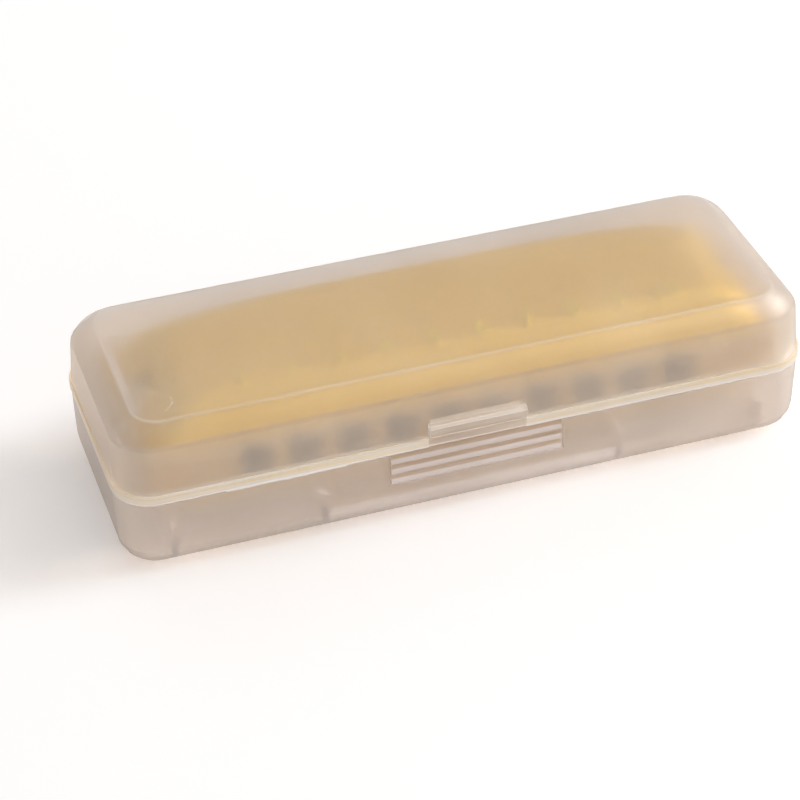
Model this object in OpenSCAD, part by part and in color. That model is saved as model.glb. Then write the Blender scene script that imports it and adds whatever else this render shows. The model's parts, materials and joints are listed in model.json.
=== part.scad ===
// Hinged plastic case with a ten-hole harmonica lying in it.
// X runs along the case, the latch faces -Y, and the table is at z = 0.
// The case is sized from the harmonica and the room left round it.

/* [Harmonica] */
// Length of the comb and of the reed plates
harp_l = 100; // [96:0.5:110]
// Depth of the comb, mouthpiece to back
harp_w = 27.5; // [26:0.1:32]
// Thickness of the comb
comb_t = 5.6; // [4.8:0.1:8]
// Thickness of a reed plate
plate_t = 1.0; // [0.8:0.1:1.4]
// Height of a cover above its reed plate
cover_h = 6.1; // [5.6:0.1:7.5]
// Thickness of the cover metal
cover_t = 0.5; // [0.4:0.05:0.7]
// Number of holes
holes = 10; // [4:1:10]
// Spacing of the holes
hole_pitch = 7.5; // [7:0.05:8]
// Width of a hole
hole_w = 5.1; // [4.6:0.1:5.4]
// Length of the longest reed, in the first hole
reed_long = 17; // [15:0.5:18]
// Length of the shortest reed, in the last hole
reed_short = 11; // [10:0.5:14]
// Thickness of a reed
reed_t = 0.2; // [0.15:0.05:0.3]
// How far the front of a cover stands behind the mouthpiece
cover_set_back = 1.3; // [1:0.1:2]
// How far the end of a cover stands in from the end of the comb
cover_end_in = 0.7; // [0.4:0.1:1.2]

/* [Room in the case] */
// Room between each end of the harmonica and the end wall
end_room = 3.4; // [2:0.1:8]
// Room between the harmonica and the front and back walls
side_room = 4.05; // [3.6:0.05:8]
// Room over the harmonica
top_room = 0.8; // [0.4:0.1:3]
// Height of the rests that the harmonica lies on
rest_h = 1.6; // [1:0.1:4]
// Thickness of a rest
rest_w = 1.2; // [0.8:0.1:2]
// Distance of the inner rests from the middle
rest_x = 23.7; // [18:0.1:30]
// How far the outer rests stand in from the end walls
rest_end_in = 6.6; // [6:0.1:12]
// How far the harmonica lies to the right of the middle
lie_x = 1.0; // [0:0.1:1.5]
// How far the harmonica lies behind the middle
lie_y = 0.25; // [0:0.05:1]

/* [Case] */
// Thickness of the case walls
wall = 1.3; // [1.2:0.1:1.8]
// Thickness of the case floor
floor_t = 1.4; // [1.2:0.1:2]
// Corner radius at the parting line, seen from above
corner_r = 6; // [5.4:0.1:8]
// Radius of the bottom edge
foot_r = 4.2; // [3.4:0.1:4.6]
// How far the parting line lies below the middle of the comb
parting_drop = 0.4; // [0:0.1:1]
// How far the base walls lean in towards the bottom
base_draft = 0.25; // [0.1:0.05:0.5]
// How far the lid walls lean in towards the shoulder
lid_draft = 0.45; // [0.1:0.05:0.6]
// Height of the sloping shoulder of the lid
shoulder_h = 3.3; // [2.5:0.1:4]
// How far the shoulder slopes in at the front and back
shoulder_run = 3.1; // [2.5:0.1:4]
// How far the shoulder slopes in at the ends
shoulder_end_run = 3.6; // [3:0.1:4.5]
// Swell of the shoulder outside a straight slope
shoulder_swell = 0.35; // [0:0.05:0.5]
// Height of the band round the rim of the lid
band_h = 1.7; // [1.2:0.1:2]
// How far the band stands out from the lid wall
band_out = 0.2; // [0.1:0.05:0.4]
// Gap at the parting line
seam = 0.1; // [0.05:0.01:0.2]
// Thickness of the lip that stands up from the base
lip_t = 0.55; // [0.45:0.05:0.6]
// Height of the lip above the parting line
lip_h = 1.3; // [1:0.1:1.5]
// Clearance between the lip and the lid
lip_gap = 0.3; // [0.25:0.05:0.35]
// Radius of the ejector pin marks inside the lid
pin_mark_r = 2.7; // [2:0.1:3]

/* [Latch] */
// Width of the latch window and its pull bar
latch_w = 15.4; // [12:0.1:20]
// Height of the latch window below the bar
window_h = 2.1; // [2:0.1:2.4]
// Height of the pull bar
bar_h = 2.1; // [1.9:0.1:2.6]
// How far the pull bar stands out from the lid
bar_out = 0.9; // [0.8:0.1:1.5]
// Thickness of the snap tongue
tongue_t = 0.9; // [0.7:0.05:1]
// Height of the snap tongue above the parting line
tongue_h = 3.9; // [3.7:0.1:4]
// Clearance at each side of the snap tongue
tongue_side = 0.8; // [0.4:0.1:1.5]
// How far the snap bead bites behind the lid wall
catch_bite = 0.15; // [0.05:0.05:0.2]
// Height of the snap bead
bead_h = 0.9; // [0.8:0.1:1]

/* [Finger grip] */
// Width of the grip on the front of the base
grip_w = 28; // [22:0.5:40]
// Height of the grip
grip_h = 5.7; // [4.5:0.1:6]
// Number of ribs in the grip
grip_ribs = 3; // [2:1:4]
// Depth of the grip ribs
rib_d = 0.6; // [0.4:0.05:0.7]
// Width of the thick pad behind the grip
pad_w = 30; // [28:0.5:42]

/* [Hinge] */
// Distance between the two hinges
hinge_span = 60; // [40:1:80]
// Radius of a hinge knuckle
knuckle_r = 1.6; // [1.5:0.05:1.9]
// Width of the knuckle on the lid
knuckle_w = 8; // [6:0.5:12]
// Width of each ear on the base
ear_w = 3; // [2.5:0.1:4]
// Radius of the moulded hinge pins
pin_r = 0.8; // [0.7:0.05:0.85]
// Radial running clearance of the pins
pin_gap = 0.05; // [0.03:0.01:0.08]
// Gap between knuckle and ears, along the axis
ear_gap = 0.3; // [0.2:0.05:0.5]
// Clearance between the knuckles and the rim band
knuckle_clear = 0.4; // [0.3:0.05:0.8]
// Height of the webs that carry the knuckles
web_h = 4; // [3:0.1:5]

/* [Fasteners] */
// Radius of a cover screw
screw_r = 0.95; // [0.8:0.05:1]
// Clearance round a screw or rivet
screw_gap = 0.05; // [0.03:0.01:0.1]
// Radius of a cover screw head
head_r = 1.6; // [1.5:0.05:1.8]
// Height of a cover screw head
head_h = 1.1; // [0.8:0.1:1.3]
// Radius of a cover nut, corner to centre
nut_r = 1.9; // [1.7:0.05:2]
// Height of a cover nut
nut_h = 1.4; // [1:0.1:1.8]
// Radius of a reed plate screw
plate_screw_r = 0.7; // [0.6:0.05:0.8]
// Radius of a rivet
rivet_r = 0.45; // [0.4:0.05:0.5]

/* [Hidden] */

clear_plastic = [0.87, 0.83, 0.80];
gold = [0.83, 0.68, 0.38];
brass = [0.78, 0.63, 0.33];
dark = [0.20, 0.17, 0.15];
steel = [0.72, 0.72, 0.72];

over = 0.5;                 // how far a cutting shape passes what it cuts
arc_steps = 8;              // steps round a quarter circle of a lofted shell
$fn = 48;

pad_t = 0.6;                // thickness added behind the grip
pad_top_in = 1;

// Heights, from the table up
harp_h = 2 * (cover_h + plate_t) + comb_t;
floor_z = floor_t;
harp_z = floor_z + rest_h;
comb_z = harp_z + cover_h + plate_t;
mid_z = comb_z + comb_t / 2;
comb_top = comb_z + comb_t;
plate_top = comb_top + plate_t;
plate_bottom = comb_z - plate_t;
parting_z = mid_z - parting_drop;
inner_top = harp_z + harp_h + top_room;
case_top = inner_top + wall;
shoulder_z = case_top - shoulder_h;
pad_z = floor_z + foot_r - pad_t;

// Plan sizes of the case
inner_l = harp_l + 2 * end_room;
inner_w = harp_w + 2 * side_room;
case_l = inner_l + 2 * wall;
case_w = inner_w + 2 * wall;
front_y = -case_w / 2;
inner_front = -inner_w / 2;

rest_x_end = inner_l / 2 - rest_end_in;
// The lip and the step in the lid that fits over it
lip_out_l = inner_l + 2 * lip_t;
lip_out_w = inner_w + 2 * lip_t;
lip_r = corner_r - wall + lip_t;
step_room = 0.2;            // over the lip, inside the lid
step_h = lip_h + seam + step_room;
tongue_front = inner_front - lip_t;
window_back = tongue_front - lip_gap;

// The harmonica's own places
harp_front = lie_y - harp_w / 2;
harp_back = lie_y + harp_w / 2;
cover_front = harp_front + cover_set_back;
cover_back_in = 0.2;
cover_back = harp_back - cover_back_in;
cover_w = cover_back - cover_front;
cover_y = (cover_back + cover_front) / 2;
flange_l = harp_l - 2 * cover_end_in;
screw_in = 1.95;            // from the end of the flange to the cover screw
screw_x = flange_l / 2 - screw_in;
dome_end_in = 0.9;          // from the end of the flange to the foot of the dome
dome_l = flange_l - 2 * dome_end_in;
dome_r = 2.5;               // corners of the dome at its foot, seen from above
bay_gap = 0.2;              // round the nut, in the recess of a cover screw
bay_r = max(head_r, nut_r) + bay_gap;
bay_out = 4;                // from the screw to past the end of the dome
rest_clear = 0.5;           // between the high end of a rest and the back of the cover
rest_slope = 0.5;           // lead-in of the high ends
front_run = 5;              // how far the dome slopes in at the front
back_run = 1.2;
end_run = 8.5;
back_arc = [27.5, 8.5];     // growth of the rounding at the back corners, up to the crown
back_window_h = 5;
back_window_in = 12;        // from the end of the dome to the open back
flange_r = 2;
tab_r = 1.9;                // rounded tabs over the holes
tab_in = 1;
mouth_x0 = -(holes - 1) / 2 * hole_pitch;
function hole_x(i) = lie_x + mouth_x0 + (i - 1) * hole_pitch;

// Reeds, from the longest at the first hole to the shortest at the last
tip_in = 4.2;
tip_y = harp_front + tip_in;
pad_l = 3;
pad_room = 1;
reed_w = 1.9;
pad_extra = 0.5;
slot_gap = 0.06;
rivet_head_r = 0.75;
rivet_head_h = 0.3;
function reed_l(i) = reed_long + (reed_short - reed_long) * (i - 1) / max(holes - 1, 1);
function chamber_end(i) = tip_y + reed_l(i) + pad_l + pad_room;
plate_screw_in = 1.9;
plate_screw_y = harp_back - plate_screw_in;
plate_screw_pitch = 0.27 * harp_l;
plate_screw_xs = [for (k = [-1.5:1:1.5]) lie_x + k * plate_screw_pitch];
plate_head_r = 1.2;
plate_head_h = 0.6;
screw_bore = screw_r + screw_gap;
plate_screw_bore = plate_screw_r + screw_gap;
rivet_bore = rivet_r + screw_gap;
driver_slot = 0.35;         // width of the slots in the screw heads
comb_corner_r = 1.5;
plate_corner_r = 1;

// Hinge places
hinge_y = case_w / 2 + band_out + knuckle_clear + knuckle_r;
hinge_z = parting_z;
web_gap = 0.4;              // how far the webs stay from the parting line
mark_in = [6.6, 7.7];       // ejector marks, in from the inner walls
mark_d = 0.15;

// Points of a rectangle with round corners, counterclockwise
// The two back corners may have an elliptic rounding of their own
function round_rect(l, w, r, y0 = 0, back = undef) = [
    for (q = [0:3]) for (k = [0:arc_steps])
        let (a = 90 * q + 90 * k / arc_steps,
             own = q < 2 && !is_undef(back),
             rx = own ? back[0] : r,
             ry = own ? back[1] : r,
             sx = (q == 0 || q == 3) ? 1 : -1,
             sy = (q < 2) ? 1 : -1)
        [sx * (l / 2 - rx) + rx * cos(a), y0 + sy * (w / 2 - ry) + ry * sin(a)]
];

// A solid through a stack of round rectangles, each [l, w, r, z, y0, back]
module loft(stack) {
    rings = [for (s = stack) round_rect(s[0], s[1], s[2], s[4], s[5])];
    m = len(rings[0]);
    n = len(stack);
    points = [for (j = [0:n - 1]) for (p = rings[j]) [p[0], p[1], stack[j][3]]];
    sides = [for (j = [0:n - 2]) for (i = [0:m - 1])
        let (a = j * m + i, b = j * m + (i + 1) % m)
        each [[a, a + m, b + m], [a, b + m, b]]];
    bottom = [for (i = [0:m - 1]) i];
    top = [for (i = [m - 1:-1:0]) (n - 1) * m + i];
    polyhedron(points, concat([bottom], sides, [top]), convexity = 4);
}

// A round-cornered slab standing on z
module slab(l, w, r, z, h) {
    translate([0, 0, z])
        linear_extrude(h) polygon(round_rect(l, w, r));
}

// Base skin: a quarter-round bottom edge below leaning walls
function base_skin(inset, z0, edge_r, z_end) = concat(
    [for (k = [0:5])
        let (t = 90 * k / 5,
             z = z0 + edge_r * (1 - cos(t)),
             i = inset + edge_r * (1 - sin(t)) + base_draft * (1 - z / parting_z))
        [case_l - 2 * i, case_w - 2 * i, max(corner_r - i, 0.6), z, 0]],
    [[case_l - 2 * inset, case_w - 2 * inset, corner_r - inset, z_end, 0]]);

// Lid skin: leaning walls, then a swelling shoulder up to the flat top
function lid_skin(inset, z_start, rise) = concat(
    [[case_l - 2 * inset, case_w - 2 * inset, corner_r - inset, z_start, 0]],
    [for (k = [0:5])
        let (s = k / 5,
             bulge = shoulder_swell * sin(180 * s) * 0.7,
             i = inset + lid_draft + shoulder_run * s - bulge,
             ie = inset + lid_draft + shoulder_end_run * s - bulge)
        [case_l - 2 * ie, case_w - 2 * i, corner_r + 0.7 - inset - 2.7 * s,
         shoulder_z + rise * s + bulge, 0]]);

// Cover dome: steep at the foot and rounding over to the flat top
function dome_skin(inset, z0, rise) = [
    for (k = [0:6])
        let (t = 90 * k / 6,
             c = 1 - cos(t),
             f = front_run * c + inset,
             b = back_run * c + inset,
             e = end_run * c + inset)
        [dome_l - 2 * e, cover_w - f - b, dome_r + dome_r * c - inset, z0 + rise * sin(t),
         cover_y + (f - b) / 2,
         [dome_r + back_arc[0] * c - inset, dome_r + back_arc[1] * c - inset]]];

// Outline of the recess round a cover screw, open towards the end
function bay_outline(r) = concat(
    [[bay_out, -r], [bay_out, r]],
    [for (k = [0:12]) [-r * sin(15 * k), r * cos(15 * k)]]);

// Case base

module grip_rib(z, h) {
    half = grip_w / 2 - 0.4;
    intersection() {
        translate([-half, front_y, z])
            rotate([90, 0, 90])
                linear_extrude(2 * half)
                    polygon([[over, h], [rib_d * 0.75, h], [0.05, h * 0.38],
                             [0.05, h * 0.2], [0.15, h * 0.1], [rib_d, 0], [over + rib_d, 0]]);
        translate([0, front_y - over, z + h * 0.2])
            rotate([-90, 0, 0])
                linear_extrude(2 * over + rib_d)
                    polygon(round_rect(2 * half, 3.2 * h, 0.8));
    }
}

module base_ear(x) {
    translate([x - ear_w / 2, 0, 0]) {
        translate([0, hinge_y, hinge_z])
            rotate([0, 90, 0])
                cylinder(r = knuckle_r, h = ear_w);
        rotate([90, 0, 90])
            linear_extrude(ear_w)
                polygon([[case_w / 2 - wall / 2, parting_z - web_gap - web_h],
                         [hinge_y + knuckle_r * 0.4, parting_z - web_gap - knuckle_r * 0.9],
                         [hinge_y + knuckle_r * 0.9, hinge_z - knuckle_r * 0.3],
                         [hinge_y, hinge_z],
                         [hinge_y - knuckle_r * 0.9, hinge_z - knuckle_r * 0.3],
                         [case_w / 2 - wall / 2, parting_z - web_gap]]);
    }
}

ear_offset = knuckle_w / 2 + ear_gap + ear_w / 2;

// A floor rib whose ends climb the front and back walls, inside their thickness
module rest_rib(x) {
    rise = foot_r + 1.4;
    skin_r = foot_r - wall / 2;
    half = case_w / 2 - wall / 2 - base_draft;
    rib_reach = half - cover_back - rest_clear;
    end = [for (k = [0:5])
        let (t = 90 * k / 5)
        [half - skin_r * (1 - sin(t)), foot_r - skin_r * cos(t)]];
    profile = concat(end,
        [[half, floor_z + rise], [half - rib_reach, floor_z + rise],
         [half - rib_reach - rest_slope, harp_z]]);
    translate([x - rest_w / 2, 0, 0])
        rotate([90, 0, 90])
            linear_extrude(rest_w) {
                polygon(concat([[0, floor_z / 2]], profile, [[0, harp_z]]));
                mirror([1, 0]) polygon(concat([[0, floor_z / 2]], profile, [[0, harp_z]]));
            }
}

module snap_tongue() {
    w = latch_w - 2 * tongue_side;
    top = parting_z + tongue_h;
    bead_mid = parting_z + window_h + bar_h / 2;
    bead_y = lip_gap + catch_bite;
    translate([-w / 2, tongue_front, 0])
        rotate([90, 0, 90])
            linear_extrude(w)
                polygon([[0, parting_z - over], [0, bead_mid - bead_h * 0.6],
                         [-bead_y, bead_mid - bead_h * 0.15], [-bead_y, bead_mid + bead_h * 0.05],
                         [0, bead_mid + bead_h * 0.4], [0.2, top], [tongue_t, top],
                         [tongue_t, parting_z - 1], [lip_t, parting_z - 2.5]]);
}

module case_base() color(clear_plastic) {
    difference() {
        union() {
            difference() {
                loft(base_skin(0, 0, foot_r, parting_z));
                loft(base_skin(wall, floor_z, foot_r - wall, parting_z + over));
            }
            // lip inside the rim of the lid
            difference() {
                slab(lip_out_l, lip_out_w, lip_r, parting_z - over, lip_h + over);
                slab(inner_l, inner_w, corner_r - wall, parting_z - 2 * over, lip_h + 3 * over);
            }
            snap_tongue();
            // thick pad behind the grip
            translate([-pad_w / 2, inner_front - wall / 2, pad_z])
                cube([pad_w, wall / 2 + pad_t, parting_z - pad_top_in - pad_z]);
            for (s = [-1, 1], x = [rest_x, rest_x_end])
                rest_rib(s * x);
            for (s = [-1, 1], e = [-1, 1])
                base_ear(s * hinge_span / 2 + e * ear_offset);
        }
        // shallow pocket of the finger grip
        translate([-grip_w / 2, front_y - over, parting_z - grip_h])
            cube([grip_w, over + rib_d, grip_h]);
        for (s = [-1, 1])
            translate([s * hinge_span / 2 - ear_offset - ear_w, hinge_y, hinge_z])
                rotate([0, 90, 0])
                    cylinder(r = pin_r + pin_gap, h = 2 * (ear_offset + ear_w));
    }
    for (k = [0:grip_ribs - 1])
        grip_rib(parting_z - 0.2 - (k + 1) * (grip_h - 0.2) / grip_ribs,
                 (grip_h - 0.2) / grip_ribs);
}

// Case lid

module lid_knuckle(x) {
    translate([x - knuckle_w / 2, 0, 0]) {
        translate([0, hinge_y, hinge_z])
            rotate([0, 90, 0])
                cylinder(r = knuckle_r, h = knuckle_w);
        rotate([90, 0, 90])
            linear_extrude(knuckle_w)
                polygon([[case_w / 2 - wall / 2, parting_z + web_gap + web_h],
                         [hinge_y + knuckle_r * 0.4, parting_z + web_gap + knuckle_r * 0.9],
                         [hinge_y + knuckle_r * 0.9, hinge_z + knuckle_r * 0.3],
                         [hinge_y, hinge_z],
                         [hinge_y - knuckle_r * 0.9, hinge_z + knuckle_r * 0.3],
                         [case_w / 2 - wall / 2, parting_z + web_gap]]);
    }
    // moulded stub pins
    translate([x - knuckle_w / 2 - ear_gap - ear_w, hinge_y, hinge_z])
        rotate([0, 90, 0])
            cylinder(r = pin_r, h = knuckle_w + 2 * (ear_gap + ear_w));
}

module pull_bar() {
    z0 = parting_z + window_h;
    edge = 0.35;
    translate([-latch_w / 2, front_y, z0])
        rotate([90, 0, 90])
            linear_extrude(latch_w)
                polygon([[wall, 0], [-bar_out + edge, 0], [-bar_out, edge],
                         [-bar_out, bar_h - edge], [-bar_out + edge, bar_h], [wall, bar_h]]);
}

module case_lid() color(clear_plastic) {
    rim_z = parting_z + seam;
    difference() {
        union() {
            loft(lid_skin(0, rim_z, shoulder_h));
            difference() {
                slab(case_l + 2 * band_out, case_w + 2 * band_out, corner_r + band_out,
                     rim_z, band_h);
                // the band stops at each side of the latch window
                translate([-latch_w / 2, front_y - 2, rim_z - over])
                    cube([latch_w, 2 + wall / 4, band_h + 2 * over]);
            }
            pull_bar();
            for (s = [-1, 1])
                lid_knuckle(s * hinge_span / 2);
        }
        loft(lid_skin(wall, rim_z - over, shoulder_h - wall));
        slab(lip_out_l + 2 * lip_gap, lip_out_w + 2 * lip_gap, lip_r + lip_gap,
             rim_z - over, step_h + over);
        // pocket for the snap tongue, and the groove for its bead
        translate([-latch_w / 2 + tongue_side / 2, window_back, rim_z - over])
            cube([latch_w - tongue_side, wall + 1, tongue_h + 0.3 + over]);
        translate([-latch_w / 2 + tongue_side / 2, window_back,
                   parting_z + window_h + bar_h / 2])
            rotate([90, 0, 90])
                linear_extrude(latch_w - tongue_side)
                    polygon([[over, -bead_h * 0.85], [0, -bead_h * 0.7], [-catch_bite - 0.3, -bead_h * 0.3],
                             [-catch_bite - 0.3, bead_h * 0.35], [0, bead_h * 0.75], [over, bead_h * 0.75]]);
        // ejector pin marks under the top
        for (sx = [-1, 1], sy = [-1, 1])
            translate([sx * (inner_l / 2 - mark_in[0]), sy * (inner_w / 2 - mark_in[1]), inner_top - over])
                cylinder(r = pin_mark_r, h = over + mark_d);
    }
}

// Harmonica

module screw_holes(r, z, h) {
    for (s = [-1, 1])
        translate([lie_x + s * screw_x, lie_y, z])
            cylinder(r = r, h = h);
}

module plate_screw_holes(r, z, h) {
    for (x = plate_screw_xs)
        translate([x, plate_screw_y, z])
            cylinder(r = r, h = h);
}

module comb() color(dark) {
    difference() {
        translate([lie_x, lie_y, comb_z])
            linear_extrude(comb_t) polygon(round_rect(harp_l, harp_w, comb_corner_r));
        for (i = [1:holes])
            translate([hole_x(i) - hole_w / 2, harp_front - over, comb_z - over])
                cube([hole_w, chamber_end(i) - harp_front + over, comb_t + 2 * over]);
        screw_holes(screw_bore, comb_z - over, comb_t + 2 * over);
        plate_screw_holes(plate_screw_bore, comb_z - over, comb_t + 2 * over);
    }
}

// Where the rivet of a reed sits: blow reeds at the back, draw reeds at the front
function rivet_y(i, blow) = blow ? tip_y + reed_l(i) + pad_l / 2 : tip_y + pad_l / 2;
function tongue_start(blow) = blow ? tip_y : tip_y + pad_l;

module reed_plate(z, blow) color(brass) {
    difference() {
        translate([lie_x, lie_y, z])
            linear_extrude(plate_t) polygon(round_rect(harp_l, harp_w, plate_corner_r));
        for (i = [1:holes]) {
            translate([hole_x(i) - reed_w / 2 - slot_gap, tongue_start(blow) - slot_gap, z - over])
                cube([reed_w + 2 * slot_gap, reed_l(i) + 2 * slot_gap, plate_t + 2 * over]);
            translate([hole_x(i), rivet_y(i, blow), z - over])
                cylinder(r = rivet_bore, h = plate_t + 2 * over, $fn = 24);
        }
        screw_holes(screw_bore, z - over, plate_t + 2 * over);
        plate_screw_holes(plate_screw_bore, z - over, plate_t + 2 * over);
    }
}

module upper_reed_plate() reed_plate(comb_top, true);
module lower_reed_plate() reed_plate(plate_bottom, false);

// A reed: a flat tongue that widens into the pad under its rivet
module reed(i, z, blow) color(brass) {
    x = hole_x(i);
    y0 = tongue_start(blow);
    l = reed_l(i);
    pad_w2 = reed_w / 2 + pad_extra;
    tip = blow ? y0 : y0 + l;
    root = blow ? y0 + l : y0;
    end = blow ? root + pad_l : root - pad_l;
    bend = blow ? root + 0.6 : root - 0.6;
    difference() {
        translate([x, 0, z])
            linear_extrude(reed_t)
                polygon([[-reed_w / 2, tip], [reed_w / 2, tip], [reed_w / 2, root],
                         [pad_w2, bend], [pad_w2, end], [-pad_w2, end],
                         [-pad_w2, bend], [-reed_w / 2, root]]);
        translate([x, rivet_y(i, blow), z - over])
            cylinder(r = rivet_bore, h = reed_t + 2 * over, $fn = 24);
    }
}

module rivets(z_plate, blow) color(steel) {
    for (i = [1:holes])
        translate([hole_x(i), rivet_y(i, blow), z_plate]) {
            cylinder(r = rivet_r, h = plate_t, $fn = 24);
            // head on the plate's free side
            translate([0, 0, blow ? plate_t : -reed_t - rivet_head_h])
                cylinder(r = rivet_head_r, h = rivet_head_h, $fn = 24);
            translate([0, 0, blow ? -reed_t - rivet_head_h : plate_t])
                cylinder(r = rivet_head_r * (blow ? 1 : 0.8), h = blow ? rivet_head_h : 0.2, $fn = 24);
            translate([0, 0, -reed_t])
                cylinder(r = rivet_r, h = reed_t + plate_t, $fn = 24);
        }
}

module blow_reed_rivets() rivets(comb_top, true);
module draw_reed_rivets() rivets(plate_bottom, false);

module screw_bays(r, z) {
    for (s = [-1, 1])
        translate([s * screw_x, lie_y, z])
            linear_extrude(2 * cover_h)
                mirror([s < 0 ? 1 : 0, 0]) polygon(bay_outline(r));
}

module cover_sheet() {
    foot = [dome_r - cover_t, dome_r - cover_t];
    window_y = cover_back - back_run - 3 * cover_t;
    difference() {
        union() {
            translate([0, cover_y, 0])
                linear_extrude(cover_t) polygon(round_rect(flange_l, cover_w, flange_r));
            difference() {
                loft(dome_skin(0, 0, cover_h));
                screw_bays(bay_r, cover_t / 2);
            }
            // small rounded tabs over the holes
            for (i = [1:holes])
                translate([hole_x(i) - lie_x, cover_front + tab_in, 0])
                    cylinder(r = tab_r, h = cover_t, $fn = 32);
        }
        difference() {
            loft(concat([[dome_l - 2 * cover_t, cover_w - 2 * cover_t, foot[0], -over, cover_y, foot]],
                        dome_skin(cover_t, 0, cover_h - cover_t)));
            screw_bays(bay_r + cover_t, -2 * over);
        }
        // the back stays open for the sound
        translate([-dome_l / 2 + back_window_in, window_y, -over])
            cube([dome_l - 2 * back_window_in, cover_w, back_window_h + over]);
        for (s = [-1, 1])
            translate([s * screw_x, lie_y, -over])
                cylinder(r = screw_bore, h = cover_t + 2 * over);
    }
}

module upper_cover() color(gold)
    translate([lie_x, 0, plate_top]) cover_sheet();

module lower_cover() color(gold)
    translate([lie_x, 0, plate_bottom]) mirror([0, 0, 1]) cover_sheet();

module reed_plate_screws() color(steel) {
    for (x = plate_screw_xs)
        translate([x, plate_screw_y, 0]) {
            translate([0, 0, plate_bottom])
                cylinder(r = plate_screw_r, h = plate_top - plate_bottom);
            difference() {
                translate([0, 0, plate_top])
                    cylinder(r = plate_head_r, h = plate_head_h);
                translate([-plate_head_r, -driver_slot / 2, plate_top + plate_head_h / 2])
                    cube([2 * plate_head_r, driver_slot, plate_head_h]);
            }
        }
}

module cover_screws() color(steel) {
    top = plate_top + cover_t;
    bottom = plate_bottom - cover_t - nut_h;
    for (s = [-1, 1])
        translate([lie_x + s * screw_x, lie_y, 0]) {
            translate([0, 0, bottom])
                cylinder(r = screw_r, h = top - bottom);
            difference() {
                translate([0, 0, top])
                    cylinder(r1 = head_r, r2 = head_r * 0.8, h = head_h);
                translate([-head_r, -driver_slot / 2, top + head_h / 2])
                    cube([2 * head_r, driver_slot, head_h]);
            }
        }
}

module cover_nuts() color(steel) {
    z = plate_bottom - cover_t - nut_h;
    for (s = [-1, 1])
        translate([lie_x + s * screw_x, lie_y, z])
            difference() {
                cylinder(r = nut_r, h = nut_h, $fn = 6);
                translate([0, 0, -over])
                    cylinder(r = screw_bore, h = nut_h + 2 * over);
            }
}

case_base();
case_lid();
comb();
upper_reed_plate();
lower_reed_plate();
upper_cover();
lower_cover();
for (i = [1:holes])
    reed(i, comb_top - reed_t, true);
for (i = [1:holes])
    reed(i, plate_bottom - reed_t, false);
blow_reed_rivets();
draw_reed_rivets();
reed_plate_screws();
cover_screws();
cover_nuts();
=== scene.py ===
import bpy
import json
import math
import random
from mathutils import Matrix, Vector


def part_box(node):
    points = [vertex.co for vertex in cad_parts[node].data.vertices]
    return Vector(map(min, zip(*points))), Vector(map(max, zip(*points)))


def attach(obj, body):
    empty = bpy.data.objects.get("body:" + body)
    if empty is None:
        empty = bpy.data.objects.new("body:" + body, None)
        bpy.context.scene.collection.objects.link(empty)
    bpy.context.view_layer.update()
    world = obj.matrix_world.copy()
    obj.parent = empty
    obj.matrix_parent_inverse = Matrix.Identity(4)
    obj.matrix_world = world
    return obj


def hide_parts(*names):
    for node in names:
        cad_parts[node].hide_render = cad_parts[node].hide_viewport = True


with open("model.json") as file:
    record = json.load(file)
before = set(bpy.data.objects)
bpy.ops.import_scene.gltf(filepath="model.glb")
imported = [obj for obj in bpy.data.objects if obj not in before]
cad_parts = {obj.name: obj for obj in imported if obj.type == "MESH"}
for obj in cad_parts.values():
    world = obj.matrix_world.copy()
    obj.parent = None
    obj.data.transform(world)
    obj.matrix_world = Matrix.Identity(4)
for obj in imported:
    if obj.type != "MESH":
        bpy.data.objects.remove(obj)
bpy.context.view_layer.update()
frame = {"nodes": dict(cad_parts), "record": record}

mm = 0.001


def newMaterial(name):
    material = bpy.data.materials.new(name)
    material.use_nodes = True
    nodes = material.node_tree.nodes
    nodes.clear()
    shader = nodes.new("ShaderNodeBsdfPrincipled")
    output = nodes.new("ShaderNodeOutputMaterial")
    material.node_tree.links.new(shader.outputs["BSDF"], output.inputs["Surface"])
    return material, shader, output


# Shared grain: speckle in three dimensions as a mask from 0 to 1, drawn out along an axis where Stretch
# is small
def makeGrain():
    group = bpy.data.node_groups.new("speckle", "ShaderNodeTree")
    along = group.interface.new_socket(name="Stretch", in_out="INPUT", socket_type="NodeSocketVector")
    along.default_value = (1, 1, 1)
    for name, value in (("Scale", 1000.0), ("Detail", 2.0), ("Low", 0.35), ("High", 0.65)):
        socket = group.interface.new_socket(name=name, in_out="INPUT", socket_type="NodeSocketFloat")
        socket.default_value = value
    group.interface.new_socket(name="Mask", in_out="OUTPUT", socket_type="NodeSocketFloat")
    nodes, links = group.nodes, group.links
    given = nodes.new("NodeGroupInput")
    result = nodes.new("NodeGroupOutput")
    place = nodes.new("ShaderNodeTexCoord")
    draw = nodes.new("ShaderNodeVectorMath")
    draw.operation = "MULTIPLY"
    noise = nodes.new("ShaderNodeTexNoise")
    spread = nodes.new("ShaderNodeMapRange")
    links.new(place.outputs["Object"], draw.inputs[0])
    links.new(given.outputs["Stretch"], draw.inputs[1])
    links.new(draw.outputs["Vector"], noise.inputs["Vector"])
    links.new(given.outputs["Scale"], noise.inputs["Scale"])
    links.new(given.outputs["Detail"], noise.inputs["Detail"])
    links.new(noise.outputs["Fac"], spread.inputs["Value"])
    links.new(given.outputs["Low"], spread.inputs["From Min"])
    links.new(given.outputs["High"], spread.inputs["From Max"])
    links.new(spread.outputs["Result"], result.inputs["Mask"])
    return group


grain = makeGrain()


def addGrain(material, scale, detail=2.0, low=0.35, high=0.65, stretch=(1, 1, 1)):
    node = material.node_tree.nodes.new("ShaderNodeGroup")
    node.node_tree = grain
    node.inputs["Stretch"].default_value = stretch
    for name, value in (("Scale", scale), ("Detail", detail), ("Low", low), ("High", high)):
        node.inputs[name].default_value = value
    return node.outputs["Mask"]


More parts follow.
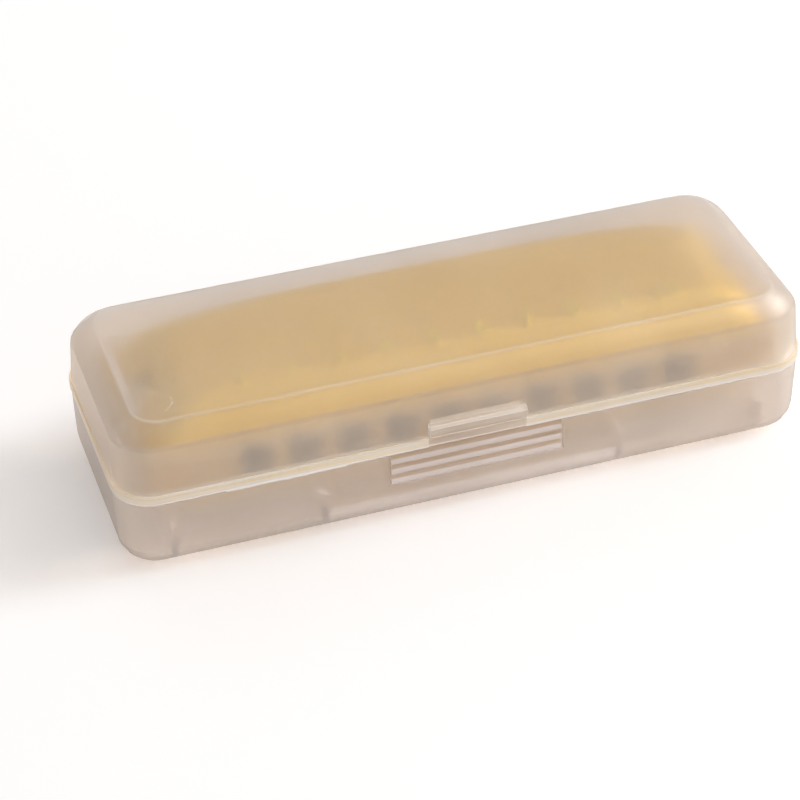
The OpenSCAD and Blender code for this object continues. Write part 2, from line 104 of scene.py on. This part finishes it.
def blendColour(material, mask, dark, light, socket):
    nodes, links = material.node_tree.nodes, material.node_tree.links
    ramp = nodes.new("ShaderNodeValToRGB")
    ramp.color_ramp.elements[0].color = (*dark, 1)
    ramp.color_ramp.elements[1].color = (*light, 1)
    links.new(mask, ramp.inputs["Fac"])
    links.new(ramp.outputs["Color"], socket)


def blendValue(material, mask, low, high, socket):
    nodes, links = material.node_tree.nodes, material.node_tree.links
    spread = nodes.new("ShaderNodeMapRange")
    spread.inputs["To Min"].default_value = low
    spread.inputs["To Max"].default_value = high
    links.new(mask, spread.inputs["Value"])
    links.new(spread.outputs["Result"], socket)


def addBump(material, shader, mask, strength, depth):
    nodes, links = material.node_tree.nodes, material.node_tree.links
    bump = nodes.new("ShaderNodeBump")
    bump.inputs["Strength"].default_value = strength
    bump.inputs["Distance"].default_value = depth
    links.new(mask, bump.inputs["Height"])
    links.new(bump.outputs["Normal"], shader.inputs["Normal"])


# Natural polypropylene. Its skin scatters what goes through it, and shadow rays pass, so that the lamps
# light what is inside
def clearPlastic(name, look):
    material, shader, output = newMaterial(name)
    nodes, links = material.node_tree.nodes, material.node_tree.links
    shader.inputs["IOR"].default_value = look["ior"]
    shader.inputs["Transmission Weight"].default_value = look["clear"]
    cloud = addGrain(material, look["cloudScale"], 3, stretch=look["stretch"])
    blendColour(material, cloud, look["darkTint"], look["lightTint"], shader.inputs["Base Color"])
    blendValue(material, cloud, look["smooth"], look["rough"], shader.inputs["Roughness"])
    skin = addGrain(material, look["skinScale"], 2)
    addBump(material, shader, skin, look["skinBump"], look["skinDepth"])
    path = nodes.new("ShaderNodeLightPath")
    passing = nodes.new("ShaderNodeBsdfTransparent")
    passing.inputs["Color"].default_value = (*look["passing"], 1)
    mix = nodes.new("ShaderNodeMixShader")
    links.new(path.outputs["Is Shadow Ray"], mix.inputs["Fac"])
    links.new(shader.outputs["BSDF"], mix.inputs[1])
    links.new(passing.outputs["BSDF"], mix.inputs[2])
    links.new(mix.outputs["Shader"], output.inputs["Surface"])
    return material


frostedLook = {
    "ior": 1.49,
    "clear": 0.82,           # share of the light that goes through
    "cloudScale": 70,        # slow clouding of the moulded wall
    "stretch": (1, 1, 1),
    "darkTint": (0.93, 0.85, 0.76),
    "lightTint": (0.975, 0.905, 0.82),
    "smooth": 0.44,
    "rough": 0.51,
    "skinScale": 5200,       # spark-eroded grain of the mould
    "skinBump": 0.20,
    "skinDepth": 0.01 * mm,
    "passing": (0.795, 0.75, 0.71),      # what each face lets through to the lamps' shadow rays
}

# Other finishes of the same plastic: only what differs from the frosted wall
otherLooks = {
    "basePlastic": {         # the base, thicker and milkier than the lid
        "clear": 0.79, "darkTint": (0.92, 0.845, 0.785), "lightTint": (0.97, 0.905, 0.85)},
    "topPlastic": {          # top of the lid, finer and clearer: the walls' stronger pale veil is painted light
        "clear": 0.94, "darkTint": (0.92, 0.85, 0.79), "lightTint": (0.96, 0.90, 0.85),
        "smooth": 0.28, "rough": 0.34},
    "shoulderPlastic": {     # and its shoulder, clearer than the walls in the same way
        "clear": 0.90, "darkTint": (0.92, 0.85, 0.79), "lightTint": (0.96, 0.90, 0.85),
        "smooth": 0.38, "rough": 0.44},
    "polishedPlastic": {     # window and pull bar of the latch
        "clear": 0.82, "darkTint": (0.94, 0.85, 0.75), "lightTint": (0.98, 0.91, 0.82),
        "smooth": 0.28, "rough": 0.36, "skinBump": 0.0},
    "bandPlastic": {         # band round the rim, paler than the wall, with long pale and yellow streaks along it
        "clear": 0.32, "cloudScale": 1900, "stretch": (0.010, 0.010, 1.0),
        "darkTint": (0.98, 0.81, 0.55), "lightTint": (1.0, 0.96, 0.89),
        "smooth": 0.30, "rough": 0.40, "skinBump": 0.0},
    "ribPaintedLight": {              # faces of the ribs painted pale: a painted highlight where they catch the light
        "clear": 0.45, "darkTint": (0.89, 0.82, 0.80), "lightTint": (0.94, 0.88, 0.87),
        "smooth": 0.36, "rough": 0.44, "skinBump": 0.0},
    "ribPaintedShade": {             # and the hollows between them, painted brown: painted shade
        "clear": 0.80, "darkTint": (0.77, 0.64, 0.51), "lightTint": (0.83, 0.70, 0.57),
        "smooth": 0.36, "rough": 0.44, "skinBump": 0.0},
    "restPaintedLight": {         # rests, and the floor between the middle two, painted pale as light showing through
        "clear": 0.05, "darkTint": (0.97, 0.91, 0.88), "lightTint": (1.0, 0.96, 0.94)},
    "softEdge": {            # edges of the wall, where it is thicker to look through
        "clear": 0.80, "darkTint": (0.94, 0.87, 0.80), "lightTint": (0.97, 0.91, 0.85),
        "smooth": 0.40, "rough": 0.50, "skinBump": 0.0},
    "paintedEdgeHighlight": {            # edges painted pale and nearly opaque: a painted highlight along them
        "clear": 0.12, "darkTint": (0.98, 0.93, 0.88), "lightTint": (1.0, 0.97, 0.94),
        "smooth": 0.30, "rough": 0.40, "skinBump": 0.0},
}


# Speckled finish of what is inside: metal, or with metallic 0 the plastic of the comb
def speckled(name, look, metallic=1.0):
    material, shader, output = newMaterial(name)
    shader.inputs["Metallic"].default_value = metallic
    speckle = addGrain(material, look["grainScale"], 3, 0.3, 0.7)
    blendColour(material, speckle, look["dark"], look["light"], shader.inputs["Base Color"])
    blendValue(material, speckle, look["smooth"], look["rough"], shader.inputs["Roughness"])
    addBump(material, shader, speckle, look["bump"], look["depth"])
    return material


goldLook = {
    "dark": (0.75, 0.535, 0.05),
    "light": (0.91, 0.695, 0.10),
    "grainScale": 3600,      # fine glass-bead blasting
    "smooth": 0.52,
    "rough": 0.70,
    "bump": 0.4,
    "depth": 0.03 * mm,
}

# Brass painted paler than brass: a painted reflection of the pale surroundings along the plates' front
# ledges
brassLook = {
    "dark": (0.78, 0.71, 0.56),
    "light": (0.90, 0.84, 0.70),
    "grainScale": 1500,
    "smooth": 0.22,
    "rough": 0.34,
    "bump": 0.15,
    "depth": 0.01 * mm,
}

# Digits painted a brighter yellow than the cover: a painted highlight on the embossing
digitHighlightLook = {
    "dark": (1.00, 0.82, 0.02),
    "light": (1.00, 0.90, 0.06),
    "grainScale": 3600,
    "smooth": 0.36,          # burnished by the press
    "rough": 0.48,
    "bump": 0.2,
    "depth": 0.02 * mm,
}

steelLook = {
    "dark": (0.56, 0.55, 0.53),
    "light": (0.72, 0.71, 0.69),
    "grainScale": 2600,
    "smooth": 0.20,
    "rough": 0.34,
    "bump": 0.12,
    "depth": 0.01 * mm,
}

combLook = {
    "dark": (0.58, 0.38, 0.11),
    "light": (0.74, 0.51, 0.18),
    "grainScale": 2500,
    "smooth": 0.40,
    "rough": 0.55,
    "bump": 0.3,
    "depth": 0.02 * mm,
}


materials = {
    "case_plastic": clearPlastic("frostedPlastic", frostedLook),
    "cover_gold": speckled("blastedGold", goldLook),
    "reed_brass": speckled("rolledBrass", brassLook),
    "comb_plastic": speckled("combPlastic", combLook, metallic=0.0),
    "fastener_steel": speckled("platedSteel", steelLook),
}
finishes = {name: clearPlastic(name, {**frostedLook, **look}) for name, look in otherLooks.items()}
for part in frame["record"]["subparts"]:
    node = frame["nodes"][part["node"]]
    node.data.materials.clear()
    node.data.materials.append(materials[part["material_slot"]])
bodyOf = {}
for body, members in frame["record"]["behaviour"]["bodies"].items():
    for name in members:
        bodyOf[name] = body
print("materials on the CAD nodes")


def only(piece):
    bpy.ops.object.select_all(action="DESELECT")
    piece.select_set(True)
    bpy.context.view_layer.objects.active = piece


def editAll(piece):
    only(piece)
    bpy.ops.object.mode_set(mode="EDIT")
    bpy.ops.mesh.select_all(action="SELECT")


def applyModifiers(piece):
    only(piece)
    for modifier in list(piece.modifiers):
        bpy.ops.object.modifier_apply(modifier=modifier.name)


# Outline of the case, to tell its outer faces
caseForm = {
    "length": 109.4 * mm,
    "width": 38.2 * mm,
    "corner": 6.0 * mm,
}


def outOfWall(point):
    corner = caseForm["corner"]
    across = abs(point.x) - caseForm["length"] / 2 + corner
    deep = abs(point.y) - caseForm["width"] / 2 + corner
    return math.hypot(max(across, 0), max(deep, 0)) + min(max(across, deep), 0) - corner


# Faces whose every corner passes the test
def facesWithin(piece, test):
    points = piece.data.vertices
    return [f for f in piece.data.polygons if all(test(points[i].co) for i in f.vertices)]


# Cuts faces across at a height, so that each side can have its own finish
def cutFaces(piece, test, height):
    editAll(piece)
    bpy.ops.mesh.select_all(action="DESELECT")
    bpy.ops.mesh.select_mode(type="FACE")
    bpy.ops.object.mode_set(mode="OBJECT")
    for face in facesWithin(piece, test):
        face.select = True
    bpy.ops.object.mode_set(mode="EDIT")
    bpy.ops.mesh.bisect(plane_co=(0, 0, height), plane_no=(0, 0, 1))
    bpy.ops.object.mode_set(mode="OBJECT")


def addFinish(piece, name):
    piece.data.materials.append(finishes[name])
    return len(piece.data.materials) - 1


# Rounds the edges sharper than an angle, or only the ones given, and puts the new faces in a finish
def easeEdges(piece, width, sharp, finish=0, among=None):
    ease = piece.modifiers.new("ease", "BEVEL")
    ease.width = width
    ease.segments = 2
    ease.material = finish
    if among:
        ease.limit_method = "WEIGHT"
        ease.use_clamp_overlap = False
        weights = piece.data.attributes.new("bevel_weight_edge", "FLOAT", "EDGE")
        for edge in among:
            weights.data[edge].value = 1.0
    else:
        ease.limit_method = "ANGLE"
        ease.angle_limit = math.radians(sharp)
        ease.use_clamp_overlap = True
    applyModifiers(piece)
    if among:
        piece.data.attributes.remove(piece.data.attributes["bevel_weight_edge"])


def sharpEdges(piece, angle):
    editAll(piece)
    bpy.ops.mesh.select_all(action="DESELECT")
    bpy.ops.mesh.select_mode(type="EDGE")
    bpy.ops.mesh.edges_select_sharp(sharpness=math.radians(angle))
    bpy.ops.object.mode_set(mode="OBJECT")
    return [e for e in piece.data.edges if e.select]


dressing = {
    "mergeWithin": 0.001 * mm,
    "flatWithin": 0.4,       # degrees between faces that are joined as one flat
    "sharp": 28,             # degrees from which an edge is eased
    "smooth": 34,            # and up to which a face runs smoothly into the next
    "levelWeight": 100,
}


# A dressed copy of a CAD node: merged, its flat faces joined, its edges eased, and smooth where it
# is round
def dressNode(nodeName, pieceName, edge, soft=False, ridges=()):
    sharp = dressing["sharp"]
    piece = bpy.data.objects.new(pieceName, frame["nodes"][nodeName].data.copy())
    bpy.context.scene.collection.objects.link(piece)
    editAll(piece)
    bpy.ops.mesh.remove_doubles(threshold=dressing["mergeWithin"])
    bpy.ops.mesh.dissolve_limited(angle_limit=math.radians(dressing["flatWithin"]))
    bpy.ops.object.mode_set(mode="OBJECT")
    finish = addFinish(piece, "softEdge") if soft else 0
    for low, high, deep, width in ridges:
        points = piece.data.vertices
        among = [e.index for e in sharpEdges(piece, sharp / 2)
                 if all(low < points[i].co.z < high and outOfWall(points[i].co) > -deep
                        for i in e.vertices)]
        print("  eased apart:", len(among), "edges at", round(low / mm, 1), "mm")
        easeEdges(piece, width, sharp, finish, among)
    easeEdges(piece, edge, sharp, finish)
    bpy.ops.object.shade_smooth_by_angle(angle=math.radians(dressing["smooth"]))
    level = piece.modifiers.new("level", "WEIGHTED_NORMAL")
    level.keep_sharp = True
    level.weight = dressing["levelWeight"]
    applyModifiers(piece)
    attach(piece, bodyOf[nodeName])
    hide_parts(nodeName)
    return piece


# Edges of the lid that get a wider ease: their lowest and highest place, how far inside the outline
# they may lie, and the width
lidRidges = [
    (24.6 * mm, 25.2 * mm, 9.0 * mm, 0.34 * mm),
    (12.5 * mm, 12.7 * mm, 0.1 * mm, 0.28 * mm),
]

# For each node: the piece that dresses it, how wide its edges are eased, and whether they are softer
# to look through
shellNames = {
    "case_base": ("caseBaseShell", 0.12 * mm, True),
    "case_lid": ("caseLidShell", 0.12 * mm, True, lidRidges),
    "upper_cover": ("upperCoverSheet", 0.08 * mm),
    "lower_cover": ("lowerCoverSheet", 0.08 * mm),
    "comb": ("combBody", 0.12 * mm),
    "upper_reed_plate": ("upperPlate", 0.06 * mm),
    "lower_reed_plate": ("lowerPlate", 0.06 * mm),
    "reed_plate_screws": ("plateScrews", 0.05 * mm),
    "cover_screws": ("coverScrews", 0.06 * mm),
    "cover_nuts": ("coverNuts", 0.06 * mm),
}
shells = {name: dressNode(name, *values) for name, values in shellNames.items()}
print("dressed copies of", len(shells), "nodes")

# Finishes of the lid: the streaked band round the rim, the polished latch, and pale lines painted as
# highlights along the rim's lower edge and the latch's edges
lidZones = {
    "bandTop": 14.35 * mm,
    "bandDeep": 0.35 * mm,   # how far inside the outline a face of the band may lie
    "latchHalf": 8.2 * mm,
    "latchTop": 16.9 * mm,
    "latchFront": -18.6 * mm,
    "wallTop": 21.3 * mm,    # above it lies the shoulder
    "shoulderTop": 24.5 * mm,
    "lineCut": 13.05 * mm,   # the pale line, a painted highlight along the rim's lower edge, reaches up to here
}


def finishLid(lid):
    zones = lidZones
    frosted, soft = 0, 1
    band = addFinish(lid, "bandPlastic")
    polished = addFinish(lid, "polishedPlastic")
    # pale holds the painted highlight along edges
    pale = addFinish(lid, "paintedEdgeHighlight")
    shoulder = addFinish(lid, "shoulderPlastic")
    top = addFinish(lid, "topPlastic")

    def inBand(p):
        return p.z < zones["bandTop"] and outOfWall(p) > -zones["bandDeep"]

    def inLatch(p):
        return (abs(p.x) < zones["latchHalf"] and p.y < zones["latchFront"]
                and p.z < zones["latchTop"])

    cutFaces(lid, inBand, zones["lineCut"])
    # Top and shoulder get less pale veil than the walls; the difference is painted light, as the walls
    # catch more light
    for face in facesWithin(lid, lambda p: p.z > zones["wallTop"]):
        if face.material_index == frosted:
            face.material_index = top if face.center.z > zones["shoulderTop"] else shoulder
        elif face.center.z < zones["shoulderTop"]:
            face.material_index = shoulder
    # Below the line the band is painted pale, as a highlight along the rim's lower edge
    for face in facesWithin(lid, inBand):
        face.material_index = pale if face.center.z < zones["lineCut"] else band
    # Eased edges of the latch get the painted highlight, its other faces the polish
    for face in facesWithin(lid, inLatch):
        face.material_index = pale if face.material_index in (soft, pale) else polished


# Finishes of the base: painted light and shade on the ribs of its grip, and the rests, painted pale as
# light showing through. A face that reaches from one rest to its mirror image passes the rests' test
# too, so the floor between the middle two gets their finish
baseZones = {
    "gripHalf": 14.05 * mm,
    "gripFront": -18.0 * mm,
    "gripLow": 6.6 * mm,
    "gripHigh": 12.45 * mm,
    "ribs": 3,
    "ribPitch": 1.833 * mm,
    "ribFoot": 6.8 * mm,
    "paintedLitShare": 0.62,         # share of each rib, from its foot, painted as lit; the rest of it is painted as shade
    "steepest": 0.5,         # faces that look further along the case keep the wall's finish
    "rests": (23.7 * mm, 46.8 * mm),
    "restHalf": 0.76 * mm,
    "restTop": 12.4 * mm,
}


def finishBase(base):
    zones = baseZones
    base.data.materials[0] = finishes["basePlastic"]
    # top holds the ribs' painted highlight, side their painted shade
    top = addFinish(base, "ribPaintedLight")
    side = addFinish(base, "ribPaintedShade")
    # rest holds the pale paint that stands in for light showing through the rests
    rest = addFinish(base, "restPaintedLight")

    def inGrip(p):
        return (abs(p.x) < zones["gripHalf"] and p.y < zones["gripFront"]
                and zones["gripLow"] < p.z < zones["gripHigh"])

    for rib in range(zones["ribs"]):
        cutFaces(base, inGrip, zones["ribFoot"] + (rib + zones["paintedLitShare"]) * zones["ribPitch"])
    # The part of each rib near its foot gets the painted highlight, the part above it the painted shade
    for face in facesWithin(base, inGrip):
        if abs(face.normal.x) < zones["steepest"]:
            up = (face.center.z - zones["ribFoot"]) / zones["ribPitch"] % 1
            face.material_index = top if up < zones["paintedLitShare"] else side
    for place in zones["rests"]:
        for face in facesWithin(base, lambda p: p.z < zones["restTop"]
                                and abs(abs(p.x) - place) < zones["restHalf"]):
            face.material_index = rest


finishLid(shells["case_lid"])
finishBase(shells["case_base"])

# Thin flash that the mould left under the rim, with its torn lower edge, painted pale as a highlight
# along the rim
rimFlash = {
    "left": -39.0 * mm,
    "right": -20.5 * mm,
    "y": -19.27 * mm,
    "top": 12.72 * mm,
    "strip": 0.3 * mm,       # height of the strip that it is torn from
    "lap": 0.12 * mm,        # how far it covers the rim before it hangs free
    "deepest": 0.34 * mm,    # below the rim's edge
    "steps": 74,
    "drag": 0.6,             # how much each tear follows the last
    "rarity": 3,             # higher makes deep tears rarer
    "least": 0.25,           # share of the tears between the ragged patches
    "patches": 0.72,         # how closely the patches follow each other
    "thick": 0.05 * mm,
    "seed": 11,
}


def makeRimFlash():
    flash = rimFlash
    middle = (flash["left"] + flash["right"]) / 2
    bpy.ops.object.select_all(action="DESELECT")
    bpy.ops.mesh.primitive_grid_add(x_subdivisions=flash["steps"], y_subdivisions=1, size=1,
                                    location=(middle, flash["y"], flash["top"]),
                                    rotation=(math.pi / 2, 0, 0))
    piece = bpy.context.object
    piece.name = "rimFlash"
    piece.scale = (flash["right"] - flash["left"], flash["strip"], 1)
    bpy.ops.object.transform_apply(location=True, rotation=True, scale=True)
    chance = random.Random(flash["seed"])
    torn = 0.0
    for point in sorted(piece.data.vertices, key=lambda v: v.co.x):
        if point.co.z < flash["top"]:
            tear = chance.random() ** flash["rarity"]
            torn = flash["drag"] * torn + (1 - flash["drag"]) * tear
            patch = max(0.0, math.sin((point.co.x - flash["left"]) / mm * flash["patches"])) ** 2
            share = flash["least"] + (1 - flash["least"]) * patch
            point.co.z = flash["top"] - flash["lap"] - flash["deepest"] * share * torn * 2
    wall = piece.modifiers.new("wall", "SOLIDIFY")
    wall.thickness = flash["thick"]
    applyModifiers(piece)
    piece.data.materials.append(finishes["paintedEdgeHighlight"])
    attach(piece, bodyOf["case_lid"])


makeRimFlash()
print("flash under the rim")

digits = {
    "count": 10,
    "pitch": 7.5 * mm,
    "middleX": 1.0 * mm,
    "y": -7.3 * mm,
    "size": 4.9 * mm,
    "rise": 0.24 * mm,       # above the crown of the cover
    "round": 0.06 * mm,
    "sink": 0.05 * mm,
    "smooth": 50,
}


def makeDigits():
    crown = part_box("upper_cover")[1].z
    made = []
    for index in range(digits["count"]):
        x = digits["middleX"] + (index - (digits["count"] - 1) / 2) * digits["pitch"]
        bpy.ops.object.select_all(action="DESELECT")
        bpy.ops.object.text_add(location=(x, digits["y"], crown - digits["sink"]))
        text = bpy.context.object
        text.data.body = str(index + 1)
        text.data.align_x = "CENTER"
        text.data.align_y = "CENTER"
        text.data.size = digits["size"]
        text.data.extrude = digits["rise"]
        text.data.bevel_depth = digits["round"]
        text.data.bevel_resolution = 1
        bpy.ops.object.convert(target="MESH")
        made.append(bpy.context.object)
    bpy.ops.object.select_all(action="DESELECT")
    for text in made:
        text.select_set(True)
    bpy.context.view_layer.objects.active = made[0]
    bpy.ops.object.join()
    piece = bpy.context.object
    piece.name = "coverDigits"
    bpy.ops.object.transform_apply(location=True, rotation=True, scale=True)
    editAll(piece)
    bpy.ops.mesh.remove_doubles(threshold=dressing["mergeWithin"])
    bpy.ops.mesh.normals_make_consistent(inside=False)
    bpy.ops.object.mode_set(mode="OBJECT")
    bpy.ops.object.shade_smooth_by_angle(angle=math.radians(digits["smooth"]))
    piece.data.materials.clear()
    piece.data.materials.append(speckled("digitGoldHighlight", digitHighlightLook))
    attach(piece, bodyOf["upper_cover"])


makeDigits()
print("digits on the upper cover")


floorLook = {
    "size": 3.0,
    "colour": (0.985, 0.965, 0.96, 1),
    "rough": 0.9,
    "glow": 0.16,            # added for the camera, so that the lit floor is white
}


def makeFloor():
    bpy.ops.object.select_all(action="DESELECT")
    bpy.ops.mesh.primitive_plane_add(size=floorLook["size"], location=(0, 0, 0))
    floor = bpy.context.object
    floor.name = "floor"
    material, shader, output = newMaterial("paleFloor")
    nodes, links = material.node_tree.nodes, material.node_tree.links
    shader.inputs["Roughness"].default_value = floorLook["rough"]
    shader.inputs["Specular IOR Level"].default_value = 0.0
    shader.inputs["Base Color"].default_value = floorLook["colour"]
    path = nodes.new("ShaderNodeLightPath")
    seen = nodes.new("ShaderNodeMath")
    seen.operation = "MAXIMUM"
    links.new(path.outputs["Is Camera Ray"], seen.inputs[0])
    links.new(path.outputs["Is Transmission Ray"], seen.inputs[1])
    glow = nodes.new("ShaderNodeMath")
    glow.operation = "MULTIPLY"
    glow.inputs[1].default_value = floorLook["glow"]
    links.new(seen.outputs[0], glow.inputs[0])
    shader.inputs["Emission Color"].default_value = (1, 1, 1, 1)
    links.new(glow.outputs[0], shader.inputs["Emission Strength"])
    floor.data.materials.append(material)


lightLook = {
    "sky": (0.38, 0.70),     # from the left, where the studio is darker, and from the right
    "skyColour": (1.0, 0.985, 0.975, 1),
    "lamps": {               # place in metres, width in metres, power in watts
        "keyLamp": ((1.06, -0.09, 0.84), 0.56, 9.7),
        "backLamp": ((-0.10, 0.75, 0.60), 0.60, 0.45),
        "frontLamp": ((0.05, -0.95, 0.24), 0.60, 0.8),
    },
}


def makeLight():
    world = bpy.data.worlds.new("sky")
    bpy.context.scene.world = world
    world.use_nodes = True
    nodes, links = world.node_tree.nodes, world.node_tree.links
    nodes.clear()
    output = nodes.new("ShaderNodeOutputWorld")
    sky = nodes.new("ShaderNodeBackground")
    sky.inputs["Color"].default_value = lightLook["skyColour"]
    way = nodes.new("ShaderNodeTexCoord")
    apart = nodes.new("ShaderNodeSeparateXYZ")
    fade = nodes.new("ShaderNodeMapRange")
    fade.inputs["From Min"].default_value = -1.0
    fade.inputs["To Min"].default_value, fade.inputs["To Max"].default_value = lightLook["sky"]
    links.new(way.outputs["Generated"], apart.inputs[0])
    links.new(apart.outputs["X"], fade.inputs["Value"])
    links.new(fade.outputs["Result"], sky.inputs["Strength"])
    white = nodes.new("ShaderNodeBackground")
    white.inputs["Color"].default_value = (1, 1, 1, 1)
    path = nodes.new("ShaderNodeLightPath")
    mix = nodes.new("ShaderNodeMixShader")
    links.new(path.outputs["Is Camera Ray"], mix.inputs["Fac"])
    links.new(sky.outputs[0], mix.inputs[1])
    links.new(white.outputs[0], mix.inputs[2])
    links.new(mix.outputs[0], output.inputs["Surface"])
    for name, (place, width, power) in lightLook["lamps"].items():
        lamp = bpy.data.lights.new(name, "AREA")
        lamp.shape = "DISK"
        lamp.size = width
        lamp.energy = power
        light = bpy.data.objects.new(name, lamp)
        bpy.context.scene.collection.objects.link(light)
        light.location = place
        light.rotation_euler = Vector(place).to_track_quat("Z", "Y").to_euler()


# Camera: turn and rise of the view, its roll, and where the case's origin lies in it
cameraView = {
    "turn": -17.91,          # degrees round the case, to the left of straight in front
    "rise": 36.27,           # degrees above the table
    "roll": -1.07,
    "right": -5.71 * mm,     # camera's place beside, above and back from the origin
    "up": 5.03 * mm,
    "back": 407.66 * mm,
    "lens": 115.94,
    "sensor": 36,
    "nearest": 0.01,
}


def makeCamera():
    turn, rise, roll = (math.radians(cameraView[k]) for k in ("turn", "rise", "roll"))
    back = Vector((math.sin(turn) * math.cos(rise), -math.cos(turn) * math.cos(rise), math.sin(rise)))
    level = Vector((math.cos(turn), math.sin(turn), 0))
    steep = back.cross(level)
    right = math.cos(roll) * level + math.sin(roll) * steep
    up = math.cos(roll) * steep - math.sin(roll) * level
    place = cameraView["right"] * right + cameraView["up"] * up + cameraView["back"] * back
    data = bpy.data.cameras.new("camera")
    data.lens = cameraView["lens"]
    data.sensor_width = cameraView["sensor"]
    data.clip_start = cameraView["nearest"]
    camera = bpy.data.objects.new("camera", data)
    bpy.context.scene.collection.objects.link(camera)
    pose = Matrix((right, up, back)).transposed().to_4x4()
    pose.translation = place
    camera.matrix_world = pose
    bpy.context.scene.camera = camera


makeFloor()
makeLight()
makeCamera()
bpy.context.scene.view_settings.view_transform = "Standard"
print("floor, light and camera")
